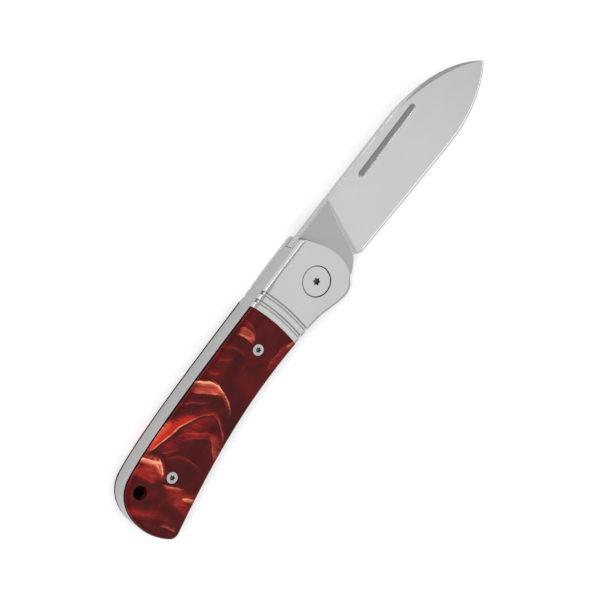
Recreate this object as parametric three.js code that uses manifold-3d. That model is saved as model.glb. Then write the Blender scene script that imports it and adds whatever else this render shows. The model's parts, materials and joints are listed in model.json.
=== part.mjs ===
// Folding pocket knife: a slip joint with steel bolsters and marbled scales, shown open.
//
// Millimetres. While the pieces are made, X runs from the butt to the tip, Y from the cutting edge
// up to the spine, and Z out through the right-hand side. The pivot axis is at X = 0, Y = 0, and the
// middle plane of the blade is Z = 0. The finished knife is lifted so that it lies on its left side,
// with the origin under the middle of its box.

import * as THREE from 'three';
import Module from 'manifold-3d';
import { mergeVertices } from 'three/addons/utils/BufferGeometryUtils.js';

const wasm = await Module();
wasm.setup();

// Thickness of each layer, outwards from the middle plane
const bladeThickness = 3.0;
const washerThickness = 0.2;
const washerGap = 0.02;
const linerThickness = 1.5;
const coverThickness = 1.8;
const coverRound = 1.4;

const wellHalf = bladeThickness / 2 + washerGap + washerThickness;
const linerFace = wellHalf + linerThickness;
const outerFace = linerFace + coverThickness;

// Blade outline, from the pivot axis
const tipReach = 77.5;
const tipDrop = 4.12;
const spineAtStep = 10.15;
const spineAtDrop = 8.75;
const dropLength = 29.5;
const bellyLength = 20.4;
const bellyDepth = 10.77;
const edgeHeelPlace = 15.4;
const edgeHeelDepth = 8.12;
const choilPlace = 12.8;
const choilDepth = 6.0;
const kickPlace = 7.7;
const kickDepth = 8.95;

const dropPlace = tipReach - dropLength;
const bellyPlace = tipReach - bellyLength;

// Outline of the handle, from the pivot axis. The tip of the closed blade stays inside the butt.
const tipRoom = 1.0;
const noseReach = 9.25;
const noseDrop = 0.3;
const browHeight = 10.0;
const browPlace = 5.2;
const browRound = 1.9;
const crownHeight = 10.95;
const crownPlace = 44;
const shoulderHeight = 9.75;
const shoulderFromButt = 8.5;
const buttDrop = 2.2;
const heelDepth = 10.75;
const heelFromButt = 4.6;
const heelRound = 2.6;
const waistDepth = 5.6;
const waistPlace = 31;
const flareDepth = 7.05;
const flarePlace = 8.2;
const guardDepth = 9.95;
const guardPlace = 3.1;
const guardFront = 7.0;
const guardFrontDepth = 7.7;

const buttReach = tipReach + tipRoom;
const shoulderPlace = buttReach - shoulderFromButt;
const heelPlace = buttReach - heelFromButt;

// Arc where the bolster meets the scale, and the two grooves in front of it
const jointPlace = 15.4;
const jointCurve = 50.5;
const jointMiddle = 3.67;
const jointGap = 0.05;
const grooveWidth = 1.1;
const grooveDepth = 0.5;
const grooveFromJoint = 2.0;
const groovePitch = 2.55;
const grooveCount = 2;

// Grinds of the blade
const plungeFoot = 13.24;
const plungeSlant = 0.322;
const plungeRadius = 3.5;
const edgeHalf = 0.03;
const bevelWidth = 0.6;
const bevelHalf = 0.26;
const spineLoss = 0.05;
const taperLoss = 0.7;
const spineChamfer = 0.3;
const swedgeWidth = 1.0;
const swedgeSlope = 0.6;

// Nail groove, on both faces
const nailGrooveFromTip = 23.8;
const nailGrooveLength = 22.8;
const nailGrooveFrontHeight = 5.3;
const nailGrooveBackHeight = 5.95;
const nailGrooveWidth = 1.6;
const nailGrooveFloor = 0.55;
const nailGrooveTilt = 12;
const nailGrooveFront = tipReach - nailGrooveFromTip;
const nailGrooveBack = nailGrooveFront - nailGrooveLength;

// Tang: three flats that the spring presses on, with rounded corners between them
const closedAngle = 174;
const flatReach = 7.4;
const tangCorner = 8.3;
const stepPlace = 3.1;

// Back spring
const springGap = 0.05;
const noseGap = 0.1;
const pressBehindKick = 3.45;
const pressBlend = 1.15;
const armDepth = 3.0;
const bossDepth = 3.9;
const bossHalfLength = 7;
const tailLength = 18.5;
const tailBlend = 8;
const edgeRoom = 0.9;
const pressLength = kickPlace + pressBehindKick;
const tailStart = buttReach - tailLength;
const tailFull = tailStart + tailBlend;

// Pivot
const pivotHeadRadius = 4.18;
const pivotHeadThickness = 1.2;
const barrelRadius = 2.4;
const threadRadius = 1.45;
const threadGap = 0.05;
const runningClearance = 0.05;
const headSink = 0.03;
const washerRadius = 5.6;
const pivotRecessRadius = 1.05;
const pivotRecessDepth = 0.8;
const barrelShort = 0.1;
const boreEnd = 2.6;
const threadEnd = 2.2;
const headEdge = 0.12;

// Scale screws, from the pivot axis
const frontScrewPlace = 23.7;
const frontScrewHeight = 2.05;
const rearScrewFromButt = 15.2;
const rearScrewHeight = 0.6;
const screwHeadRadius = 1.6;
const screwHeadThickness = 1.0;
const screwShankRadius = 0.95;
const screwShort = 0.2;
const screwRecessRadius = 0.8;
const screwRecessDepth = 0.6;

// Lanyard hole, through the whole butt
const lanyardFromButt = 7.3;
const lanyardHeight = 5.55;
const lanyardRadius = 1.9;

// Hidden pins: two through the spring, two in the back of each bolster
const springPinRadius = 1.0;
const fulcrumPlace = 36;
const fulcrumDepth = 2.0;
const tailPinFromButt = 14;
const tailPinDepth = 2.1;
const pinShort = 0.02;
const bolsterPinRadius = 0.9;
const bolsterPinPlace = 8.2;
const bolsterPinHigh = 6.9;
const bolsterPinLow = -4.2;
const bolsterPinCover = 0.8;

const fitGap = 0.05;
const beyond = 4;

// Fineness of the facets
const curveSteps = 9;
const rimSteps = 3;
const roundSides = 40;
const smallSides = 24;

const colours = {
  satinSteel: { color: 0xb9babb, roughness: 0.38, metalness: 0.9 },
  bladeSteel: { color: 0xc4c5c6, roughness: 0.3, metalness: 0.92 },
  springSteel: { color: 0xa9aaab, roughness: 0.4, metalness: 0.9 },
  screwSteel: { color: 0xaeb0b2, roughness: 0.32, metalness: 0.95 },
  bronze: { color: 0xb08448, roughness: 0.4, metalness: 0.85 },
  marbledResin: { color: 0x7a1d16, roughness: 0.22, metalness: 0.0 },
};

const radians = THREE.MathUtils.degToRad;

// A closed triangle mesh as a solid that can be cut and joined
function solidOf(geometry) {
  const bare = geometry.clone();
  bare.deleteAttribute('normal');
  bare.deleteAttribute('uv');
  const welded = mergeVertices(bare, 1e-5);
  const corners = welded.index.array;
  const kept = [];
  for (let i = 0; i < corners.length; i += 3) {
    const [a, b, c] = [corners[i], corners[i + 1], corners[i + 2]];
    if (a !== b && b !== c && c !== a) {
      kept.push(a, b, c);
    }
  }
  return new wasm.Manifold(new wasm.Mesh({
    numProp: 3,
    vertProperties: new Float32Array(welded.attributes.position.array),
    triVerts: new Uint32Array(kept),
  }));
}

function geometryOf(solid) {
  const mesh = solid.getMesh();
  const geometry = new THREE.BufferGeometry();
  geometry.setAttribute('position', new THREE.BufferAttribute(mesh.vertProperties, 3));
  geometry.setIndex(new THREE.BufferAttribute(mesh.triVerts, 1));
  geometry.computeVertexNormals();
  return geometry;
}

// The same solid on the other side of the middle plane
function mirrored(solid) {
  const mesh = solid.getMesh();
  const places = Float32Array.from(mesh.vertProperties);
  for (let i = 2; i < places.length; i += 3) {
    places[i] = -places[i];
  }
  const corners = Uint32Array.from(mesh.triVerts);
  for (let i = 0; i < corners.length; i += 3) {
    [corners[i], corners[i + 1]] = [corners[i + 1], corners[i]];
  }
  return new wasm.Manifold(new wasm.Mesh({ numProp: 3, vertProperties: places, triVerts: corners }));
}

// A flat plate with the outline of a shape, between two heights
function plate(shape, low, high) {
  const geometry = new THREE.ExtrudeGeometry(shape, {
    depth: high - low,
    bevelEnabled: false,
    curveSegments: curveSteps,
  });
  geometry.translate(0, 0, low);
  return solidOf(geometry);
}

// A plate whose two faces have bevelled or rounded rims, standing inside the outline
function rimmedPlate(shape, low, high, rim, steps) {
  const geometry = new THREE.ExtrudeGeometry(shape, {
    depth: high - low - 2 * rim,
    bevelEnabled: true,
    bevelThickness: rim,
    bevelSize: rim,
    bevelOffset: -rim,
    bevelSegments: steps,
    curveSegments: curveSteps,
  });
  geometry.translate(0, 0, low + rim);
  return solidOf(geometry);
}

// A round piece about a line parallel to Z; the profile goes up its outside as [radius, height]
function turned(profile, x, y, sides = roundSides) {
  const points = profile.map(([radius, height]) => new THREE.Vector2(radius, height));
  const geometry = new THREE.LatheGeometry(points, sides);
  geometry.rotateX(Math.PI / 2);
  geometry.translate(x, y, 0);
  return solidOf(geometry);
}

function rod(radius, x, y, low, high, sides = roundSides) {
  return turned([[0, low], [radius, low], [radius, high], [0, high]], x, y, sides);
}

// A driver recess with six lobes, open at the top
function sixLobeRecess(radius, x, y, low, high) {
  const shape = new THREE.Shape();
  const points = 24;
  for (let i = 0; i < points; i++) {
    const angle = (i / points) * Math.PI * 2;
    const reach = radius * (0.86 + 0.14 * Math.cos(6 * angle));
    const [px, py] = [x + reach * Math.cos(angle), y + reach * Math.sin(angle)];
    if (i === 0) {
      shape.moveTo(px, py);
    } else {
      shape.lineTo(px, py);
    }
  }
  return plate(shape, low, high);
}

// Smooth outline through stations. Each one says where it is, the way the outline heads there in
// degrees, and how far it holds that heading before and after, as a share of the straight way.
function bend(shape, from, to) {
  const way = Math.hypot(to.x - from.x, to.y - from.y);
  const out = radians(from.leaves ?? from.heading);
  const into = radians(to.heading);
  shape.bezierCurveTo(
    from.x + Math.cos(out) * way * from.after,
    from.y + Math.sin(out) * way * from.after,
    to.x - Math.cos(into) * way * to.before,
    to.y - Math.sin(into) * way * to.before,
    to.x,
    to.y,
  );
}

// Handle outline, once round from the brow along the spine, the butt and the belly
const browSide = { x: browPlace + 0.9 * browRound, y: browHeight - 0.575 * browRound };
const heelBack = { x: -heelPlace - heelRound, y: -heelDepth + 0.48 * heelRound };
const handleStations = [
  { x: browPlace, y: browHeight, heading: 178.6, before: 0.37, after: 0.31 },
  { x: -crownPlace, y: crownHeight, heading: 180, before: 0.34, after: 0.38 },
  { x: -shoulderPlace, y: shoulderHeight, heading: 189, before: 0.235, after: 0.32 },
  { x: -buttReach, y: -buttDrop, heading: 270, before: 0.49, after: 0.32 },
  { x: heelBack.x, y: heelBack.y, heading: 299, before: 0.32, after: 0.36 },
  { x: -heelPlace, y: -heelDepth, heading: 371.5, before: 0.33, after: 0.27 },
  { x: -waistPlace, y: -waistDepth, heading: 360, before: 0.36, after: 0.35 },
  { x: -flarePlace, y: -flareDepth, heading: 352, before: 0.28, after: 0.35 },
  { x: guardPlace, y: -guardDepth, heading: 360, before: 0.3, after: 0.4 },
  { x: guardFront, y: -guardFrontDepth, heading: 416, before: 0.33, after: 0.25 },
  { x: noseReach, y: -noseDrop, heading: 450, before: 0.37, after: 0.35 },
  { x: browSide.x, y: browSide.y, heading: 474.6, before: 0.33, after: 0.37 },
];

function handleShape() {
  const shape = new THREE.Shape();
  shape.moveTo(handleStations[0].x, handleStations[0].y);
  handleStations.forEach((station, i) => {
    bend(shape, station, handleStations[(i + 1) % handleStations.length]);
  });
  return shape;
}

// Blade curves
const spineHeading = THREE.MathUtils.radToDeg(
  Math.atan2(spineAtDrop - spineAtStep, dropPlace - stepPlace),
);
const dropStart = { x: dropPlace, y: spineAtDrop, heading: spineHeading, after: 0.32 };
const tip = { x: tipReach, y: -tipDrop, heading: -50, before: 0.36, leaves: 238, after: 0.06 };
const belly = { x: bellyPlace, y: -bellyDepth, heading: 180, before: 0.546, after: 0.125 };
const edgeHeel = { x: edgeHeelPlace, y: -edgeHeelDepth, heading: 176.3, before: 0.3 };

function curveThrough(...stations) {
  const shape = new THREE.Shape();
  shape.moveTo(stations[0].x, stations[0].y);
  for (let i = 1; i < stations.length; i++) {
    bend(shape, stations[i - 1], stations[i]);
  }
  return shape.getPoints(16);
}

const dropCurve = curveThrough(dropStart, tip);
const edgeCurve = curveThrough(tip, belly, edgeHeel);

// The way a line of points runs at one of them
function runAt(points, i) {
  const before = points[Math.max(0, i - 1)];
  const after = points[Math.min(points.length - 1, i + 1)];
  return new THREE.Vector2(after.x - before.x, after.y - before.y).normalize();
}

// The highest y that a line of points reaches at a given x, or nothing where it does not go
function topAt(points, x) {
  let top = -Infinity;
  for (let i = 0; i + 1 < points.length; i++) {
    const [a, b] = [points[i], points[i + 1]];
    if ((a.x - x) * (b.x - x) <= 0 && a.x !== b.x) {
      top = Math.max(top, a.y + ((b.y - a.y) * (x - a.x)) / (b.x - a.x));
    }
  }
  return top;
}

// A point of the tang at a given reach from the pivot axis and angle in degrees
function onTang(reach, angle) {
  return new THREE.Vector2(Math.cos(radians(angle)) * reach, Math.sin(radians(angle)) * reach);
}

// Tang outline from the step back round to the kick. The flat that presses on the spring at a given
// blade angle faces that angle plus 90 degrees.
const flatHalfAngle = THREE.MathUtils.radToDeg(Math.acos(flatReach / tangCorner));
const tangPoints = [new THREE.Vector2(stepPlace, flatReach)];
for (const press of [0, closedAngle / 2, closedAngle]) {
  const leaving = 90 + press + flatHalfAngle;
  const turn = press < closedAngle ? closedAngle / 2 - 2 * flatHalfAngle : 0;
  const steps = press < closedAngle ? 6 : 0;
  for (let k = 0; k <= steps; k++) {
    tangPoints.push(onTang(tangCorner, leaving + (turn * k) / Math.max(steps, 1)));
  }
}

function bladeShape() {
  const shape = new THREE.Shape();
  shape.moveTo(stepPlace, spineAtStep);
  tangPoints.forEach((point) => shape.lineTo(point.x, point.y));
  shape.lineTo(kickPlace - 1.9, -kickDepth + 0.95);
  shape.lineTo(kickPlace - 0.8, -kickDepth + 0.2);
  shape.quadraticCurveTo(kickPlace, -kickDepth - 0.2, kickPlace + 0.9, -kickDepth + 0.15);
  shape.quadraticCurveTo(
    (kickPlace + choilPlace) / 2 + 0.15,
    -kickDepth + 0.85,
    choilPlace - 0.4,
    -choilDepth - 0.35,
  );
  shape.quadraticCurveTo(choilPlace, -choilDepth, choilPlace + 0.35, -choilDepth - 0.4);
  shape.lineTo(edgeHeelPlace - 1.3, -edgeHeelDepth + 0.6);
  shape.quadraticCurveTo(
    edgeHeelPlace - 0.75,
    -edgeHeelDepth + 0.04,
    edgeHeelPlace,
    -edgeHeelDepth,
  );
  edgeCurve.slice(0, -1).reverse().forEach((point) => shape.lineTo(point.x, point.y));
  dropCurve.slice(0, -1).reverse().forEach((point) => shape.lineTo(point.x, point.y));
  return shape;
}

// A closed solid between two grids of points, one under the other. Rows follow X, and the points of
// a row follow Y.
function betweenGrids(low, high) {
  const across = low[0].length;
  const places = [];
  [...low, ...high].forEach((row) => row.forEach((p) => places.push(p.x, p.y, p.z)));
  const upper = low.length * across;
  const corners = [];
  const quad = (a, b, c, d) => corners.push(a, b, c, a, c, d);
  for (let i = 0; i + 1 < low.length; i++) {
    for (let j = 0; j + 1 < across; j++) {
      const a = i * across + j;
      quad(a, a + 1, a + across + 1, a + across);
      quad(upper + a, upper + a + across, upper + a + across + 1, upper + a + 1);
    }
  }
  const last = (low.length - 1) * across;
  for (let j = 0; j + 1 < across; j++) {
    quad(j + 1, j, upper + j, upper + j + 1);
    quad(last + j, last + j + 1, upper + last + j + 1, upper + last + j);
  }
  for (let i = 0; i + 1 < low.length; i++) {
    const a = i * across;
    const b = a + across - 1;
    quad(a, a + across, upper + a + across, upper + a);
    quad(b + across, b, upper + b, upper + b + across);
  }
  const geometry = new THREE.BufferGeometry();
  geometry.setAttribute('position', new THREE.Float32BufferAttribute(places, 3));
  geometry.setIndex(corners);
  return solidOf(geometry);
}

// A cutter over one face of the blade, flat on top
function overGrid(rows) {
  const top = bladeThickness / 2 + plungeRadius + 1;
  return betweenGrids(rows, rows.map((row) => row.map((p) => ({ x: p.x, y: p.y, z: top }))));
}

function along(from, to, share) {
  return {
    x: from.x + (to.x - from.x) * share,
    y: from.y + (to.y - from.y) * share,
    z: from.z + (to.z - from.z) * share,
  };
}

// Half the thickness that the grind leaves: at the straight line of the spine, and anywhere
const spineLine = (x) => spineAtStep
  + ((x - stepPlace) * (spineAtDrop - spineAtStep)) / (dropPlace - stepPlace);
const plungeLine = (y) => plungeFoot + plungeSlant * y;
const plungeTop = plungeLine(spineAtStep);
const plungeLow = plungeLine(-edgeHeelDepth);
const spineHalf = (x) => bladeThickness / 2 - spineLoss
  - (taperLoss * Math.max(0, x - plungeTop)) / (tipReach - plungeTop);

function groundHalf(x, y) {
  const shoulder = -topAt(edgeCurve.map((p) => ({ x: p.x, y: -p.y })), Math.min(x, tipReach - 0.01))
    + bevelWidth;
  const share = (y - shoulder) / (spineLine(x) - shoulder);
  return bevelHalf + (spineHalf(x) - bevelHalf) * share;
}

// Cutter of the full flat grind. Its underside is ruled from the edge up to the line of the spine,
// with the narrow edge bevel below and the curved plunge at the ricasso end.
function flatGrindCutter() {
  const column = (edge, normal, spineX, rise) => {
    const at = (d, z) => ({ x: edge.x + normal.x * d, y: edge.y + normal.y * d, z: z + rise });
    const shoulder = at(bevelWidth, bevelHalf);
    const spine = { x: spineX, y: spineLine(spineX), z: spineHalf(spineX) + rise };
    return [at(-beyond, edgeHalf), at(0, edgeHalf), shoulder, spine, along(shoulder, spine, 1.25)];
  };
  const up = { x: 0, y: 1 };
  const columns = [];
  const coveSteps = 7;
  for (let k = 0; k <= coveSteps; k++) {
    const angle = (Math.PI / 2) * (1 - k / coveSteps);
    const ahead = plungeRadius * (1 - Math.sin(angle));
    const rise = plungeRadius * (1 - Math.cos(angle));
    const foot = { x: plungeLow + ahead, y: -edgeHeelDepth };
    columns.push(column(foot, up, plungeTop + ahead, rise));
  }
  const lowEnd = plungeLow + plungeRadius;
  const topEnd = plungeTop + plungeRadius;
  const lastSpine = tipReach - 1.5;
  const toTip = edgeCurve.slice().reverse();
  toTip.forEach((point, i) => {
    if (point.x > lowEnd + 0.5) {
      const run = runAt(toTip, i);
      const share = (point.x - lowEnd) / (tipReach - lowEnd);
      const spineX = topEnd + share * (lastSpine - topEnd);
      columns.push(column(point, { x: -run.y, y: run.x }, spineX, 0));
    }
  });
  const run = runAt(toTip, toTip.length - 1);
  const past = { x: tip.x + run.x * beyond, y: tip.y + run.y * beyond };
  columns.push(column(past, { x: -run.y, y: run.x }, lastSpine + beyond, 0));
  return overGrid(columns);
}

// Cutter of the swedge, the false edge that thins the spine along the drop to the tip. Its width
// swells and fades as half a sine wave.
function swedgeCutter() {
  return overGrid(dropCurve.map((point, i) => {
    const run = runAt(dropCurve, i);
    const width = swedgeWidth * Math.sin((Math.PI * i) / (dropCurve.length - 1));
    const face = groundHalf(point.x, point.y);
    const at = (d) => ({
      x: point.x + run.y * d,
      y: point.y - run.x * d,
      z: face - swedgeSlope * (width - d),
    });
    return [at(width + 0.6), at(-0.8)];
  }));
}

// Cutter of a nail groove: a slot with round ends, deepest along its upper side
function nailGrooveCutter() {
  const radius = nailGrooveWidth / 2;
  const rise = nailGrooveFrontHeight - nailGrooveBackHeight;
  const length = Math.hypot(nailGrooveFront - nailGrooveBack, rise);
  const slot = new THREE.Shape();
  slot.absarc(length / 2, 0, radius, -Math.PI / 2, Math.PI / 2, false);
  slot.absarc(-length / 2, 0, radius, Math.PI / 2, Math.PI * 1.5, false);
  const geometry = new THREE.ExtrudeGeometry(slot, {
    depth: bladeThickness,
    bevelEnabled: false,
    curveSegments: 8,
  });
  geometry.rotateX(-radians(nailGrooveTilt));
  geometry.rotateZ(Math.atan2(rise, nailGrooveFront - nailGrooveBack));
  geometry.translate(
    (nailGrooveFront + nailGrooveBack) / 2,
    (nailGrooveFrontHeight + nailGrooveBackHeight) / 2,
    nailGrooveFloor,
  );
  return solidOf(geometry);
}

// Heights of the pivot and the scale screws under the outer faces
const headTop = outerFace - headSink;
const pivotHeadBase = headTop - pivotHeadThickness;
const screwHeadBase = headTop - screwHeadThickness;
const holeRadius = barrelRadius + runningClearance;

function blade() {
  const half = bladeThickness / 2;
  let solid = rimmedPlate(bladeShape(), -half, half, spineChamfer, 1);
  for (const cutter of [flatGrindCutter(), swedgeCutter(), nailGrooveCutter()]) {
    solid = solid.subtract(cutter).subtract(mirrored(cutter));
  }
  return solid.subtract(rod(holeRadius, 0, 0, -bladeThickness, bladeThickness));
}

// Outline of the handle as points, and where things lie along its spine
const handlePoints = handleShape().getPoints(curveSteps);
const handleTop = (x) => topAt([...handlePoints, handlePoints[0]], x);
const fulcrum = { x: -fulcrumPlace, y: handleTop(-fulcrumPlace) - fulcrumDepth };
const tailPinPlace = buttReach - tailPinFromButt;
const tailPin = { x: -tailPinPlace, y: handleTop(-tailPinPlace) - tailPinDepth };
const bolsterPins = [
  { name: 'upper', x: -bolsterPinPlace, y: bolsterPinHigh },
  { name: 'lower', x: -bolsterPinPlace, y: bolsterPinLow },
];
const scaleScrews = [
  { name: 'front', x: -frontScrewPlace, y: frontScrewHeight },
  { name: 'rear', x: rearScrewFromButt - buttReach, y: rearScrewHeight },
];
const lanyard = { x: lanyardFromButt - buttReach, y: lanyardHeight };

function drill(solid, places, radius, sides = smallSides) {
  const [low, high] = [-2 * outerFace, 2 * outerFace];
  return places.reduce((left, at) => left.subtract(rod(radius, at.x, at.y, low, high, sides)), solid);
}

// The closed blade, for the room that the spring leaves it
const closing = radians(-closedAngle);
const closedBlade = bladeShape().getPoints(4).map((p) => ({
  x: p.x * Math.cos(closing) - p.y * Math.sin(closing),
  y: p.x * Math.sin(closing) + p.y * Math.cos(closing),
}));
const closedTip = Math.min(...closedBlade.map((p) => p.x));
const closedTop = (x) => topAt([...closedBlade, closedBlade[0]], Math.max(x, closedTip + 0.3));

// Underside of the spring: a nose that presses on the tang, a thinner arm, a boss round its
// fulcrum pin, and a tail that keeps clear of the closed edge
function springUnderside(x) {
  const nose = flatReach + springGap;
  const bump = Math.max(0, 1 - Math.abs(x - fulcrum.x) / bossHalfLength);
  const depth = armDepth + (bossDepth - armDepth) * (1 - Math.cos(Math.PI * bump)) / 2;
  const arm = Math.max(handleTop(Math.max(x, -tailFull)) - depth, nose - (depth - armDepth));
  const seated = Math.max(arm, closedTop(x) + springGap);
  const share = THREE.MathUtils.smoothstep(-x, tailStart, tailFull);
  const level = x > -pressLength ? Math.max(nose, closedTop(x) + springGap) : seated;
  return level + (closedTop(x) + edgeRoom - level) * share;
}

function backSpring() {
  const shape = new THREE.Shape();
  const noseFront = stepPlace - noseGap;
  const front = springUnderside(0);
  const left = Math.min(-buttReach, closedTip) - beyond;
  shape.moveTo(noseFront, browHeight + beyond);
  shape.lineTo(left, browHeight + beyond);
  shape.lineTo(left, springUnderside(closedTip));
  for (let x = closedTip; x < -pressLength - pressBlend; x += 1.0) {
    shape.lineTo(x, springUnderside(x));
  }
  for (let x = -pressLength - pressBlend; x < -kickPlace / 2; x += 0.3) {
    shape.lineTo(x, springUnderside(x));
  }
  shape.lineTo(-kickPlace / 2, front);
  shape.lineTo(noseFront, front);
  const above = plate(shape, -wellHalf, wellHalf);
  const solid = plate(handleShape(), -2 * wellHalf, 2 * wellHalf).intersect(above);
  return drill(drill(solid, [fulcrum, tailPin], springPinRadius + fitGap), [lanyard], lanyardRadius, 32);
}

// One liner, one bolster and one scale, each on the right-hand side
function liner() {
  let solid = plate(handleShape(), wellHalf, linerFace);
  solid = drill(solid, [{ x: 0, y: 0 }], holeRadius, roundSides);
  solid = drill(solid, [fulcrum, tailPin], springPinRadius + fitGap);
  solid = drill(solid, bolsterPins, bolsterPinRadius + fitGap);
  solid = drill(solid, scaleScrews, screwShankRadius + fitGap);
  return drill(solid, [lanyard], lanyardRadius, 32);
}

const jointCentre = { x: -jointPlace - jointCurve, y: jointMiddle };

function jointDisc(radius) {
  return rod(radius, jointCentre.x, jointCentre.y, 0, 2 * outerFace, 240);
}

// The outer cover of the whole handle, from the liner outwards, with its rim rounded
function cover() {
  const billet = rimmedPlate(handleShape(), -outerFace, outerFace, coverRound, rimSteps);
  const slab = rod(2 * buttReach, 0, 0, linerFace, 2 * outerFace, 12);
  return billet.intersect(slab);
}

// Cutter of one decorative groove. It follows an arc across the bolster, over both rounded rims and
// down the walls to the liner, at an even depth below the surface, with a round bottom.
function grooveCutter(radius) {
  const onArc = (angle) => ({
    x: jointCentre.x + radius * Math.cos(angle),
    y: jointCentre.y + radius * Math.sin(angle),
  });
  const inside = (angle) => {
    const p = onArc(angle);
    return p.y < handleTop(p.x) && p.y > -topAt(handlePoints.map((q) => ({ x: q.x, y: -q.y })), p.x);
  };
  const border = (sign) => {
    let [near, far] = [0, sign * 0.5];
    for (let k = 0; k < 40; k++) {
      const middle = (near + far) / 2;
      if (inside(middle)) {
        near = middle;
      } else {
        far = middle;
      }
    }
    return near;
  };
  const [low, high] = [border(-1), border(1)];
  const rimCentre = outerFace - coverRound;
  const rimShare = coverRound / radius;
  const stations = [{ angle: low, z: linerFace - 1, out: 0, up: 0, side: -1 }];
  for (let k = 0; k <= rimSteps; k++) {
    const turn = (Math.PI / 2) * (k / rimSteps);
    stations.push({
      angle: low + rimShare * (1 - Math.cos(turn)),
      z: rimCentre + coverRound * Math.sin(turn),
      up: Math.sin(turn),
      side: -Math.cos(turn),
    });
  }
  const topSteps = 5;
  for (let k = 1; k < topSteps; k++) {
    const [from, to] = [low + rimShare, high - rimShare];
    stations.push({ angle: from + ((to - from) * k) / topSteps, z: outerFace, up: 1, side: 0 });
  }
  for (let k = rimSteps; k >= 0; k--) {
    const turn = (Math.PI / 2) * (k / rimSteps);
    stations.push({
      angle: high - rimShare * (1 - Math.cos(turn)),
      z: rimCentre + coverRound * Math.sin(turn),
      up: Math.sin(turn),
      side: Math.cos(turn),
    });
  }
  stations[0].side = -1;
  stations.push({ angle: high, z: linerFace - 1, up: 0, side: 1 });
  const acrossSteps = 6;
  const gridAt = (push) => {
    const rows = [];
    for (let i = 0; i <= acrossSteps; i++) {
      const turn = Math.PI * (1 - i / acrossSteps);
      const lateral = radius + (grooveWidth / 2) * Math.cos(turn);
      const depth = push ?? -grooveDepth * Math.sin(turn);
      rows.push(stations.map(({ angle, z, up, side }) => {
        const around = angle + (side * depth) / radius;
        return {
          x: jointCentre.x + lateral * Math.cos(around),
          y: jointCentre.y + lateral * Math.sin(around),
          z: z + up * depth,
        };
      }));
    }
    return rows;
  };
  return betweenGrids(gridAt(), gridAt(1));
}

function bolster() {
  let solid = cover().subtract(jointDisc(jointCurve));
  for (let k = 0; k < grooveCount; k++) {
    solid = solid.subtract(grooveCutter(jointCurve + grooveFromJoint + k * groovePitch));
  }
  solid = solid.subtract(rod(holeRadius, 0, 0, 0, 2 * outerFace));
  solid = solid.subtract(rod(pivotHeadRadius + fitGap, 0, 0, pivotHeadBase, 2 * outerFace));
  for (const pin of bolsterPins) {
    const end = outerFace - bolsterPinCover;
    solid = solid.subtract(rod(bolsterPinRadius + fitGap, pin.x, pin.y, 0, end, smallSides));
  }
  return solid;
}

function scale() {
  let solid = cover().intersect(jointDisc(jointCurve - jointGap));
  for (const screw of scaleScrews) {
    const { x, y } = screw;
    solid = solid.subtract(rod(screwShankRadius + fitGap, x, y, 0, 2 * outerFace, smallSides));
    solid = solid.subtract(rod(screwHeadRadius + fitGap, x, y, screwHeadBase, 2 * outerFace, 32));
  }
  return drill(solid, [lanyard], lanyardRadius, 32);
}

function washer() {
  const inner = barrelRadius + runningClearance;
  const low = bladeThickness / 2 + washerGap;
  return turned([
    [inner, low],
    [washerRadius, low],
    [washerRadius, wellHalf],
    [inner, wellHalf],
    [inner, low],
  ], 0, 0, 32);
}

// The pivot: a barrel with a head on the right, and a screw with the same head on the left
function pivotBarrel() {
  const foot = -pivotHeadBase + barrelShort;
  return turned([
    [0, boreEnd],
    [threadRadius + threadGap, boreEnd],
    [threadRadius + threadGap, foot],
    [barrelRadius, foot],
    [barrelRadius, pivotHeadBase],
    [pivotHeadRadius, pivotHeadBase],
    [pivotHeadRadius, headTop - headEdge],
    [pivotHeadRadius - headEdge, headTop],
    [0, headTop],
  ], 0, 0).subtract(sixLobeRecess(pivotRecessRadius, 0, 0, headTop - pivotRecessDepth, 2 * headTop));
}

function pivotScrew() {
  return mirrored(turned([
    [0, -threadEnd],
    [threadRadius, -threadEnd],
    [threadRadius, pivotHeadBase],
    [pivotHeadRadius, pivotHeadBase],
    [pivotHeadRadius, headTop - headEdge],
    [pivotHeadRadius - headEdge, headTop],
    [0, headTop],
  ], 0, 0).subtract(sixLobeRecess(pivotRecessRadius, 0, 0, headTop - pivotRecessDepth, 2 * headTop)));
}

function scaleScrew(place) {
  const { x, y } = place;
  return turned([
    [0, wellHalf + screwShort],
    [screwShankRadius, wellHalf + screwShort],
    [screwShankRadius, screwHeadBase],
    [screwHeadRadius, screwHeadBase],
    [screwHeadRadius, headTop - headEdge],
    [screwHeadRadius - headEdge, headTop],
    [0, headTop],
  ], x, y, smallSides).subtract(sixLobeRecess(screwRecessRadius, x, y, headTop - screwRecessDepth, 2 * headTop));
}

const knife = new THREE.Group();

function place(name, solid, finish) {
  const mesh = new THREE.Mesh(geometryOf(solid), new THREE.MeshStandardMaterial(colours[finish]));
  mesh.name = name;
  knife.add(mesh);
}

function placePair(name, solid, finish) {
  place(`${name}_right`, solid, finish);
  place(`${name}_left`, mirrored(solid), finish);
}

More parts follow.
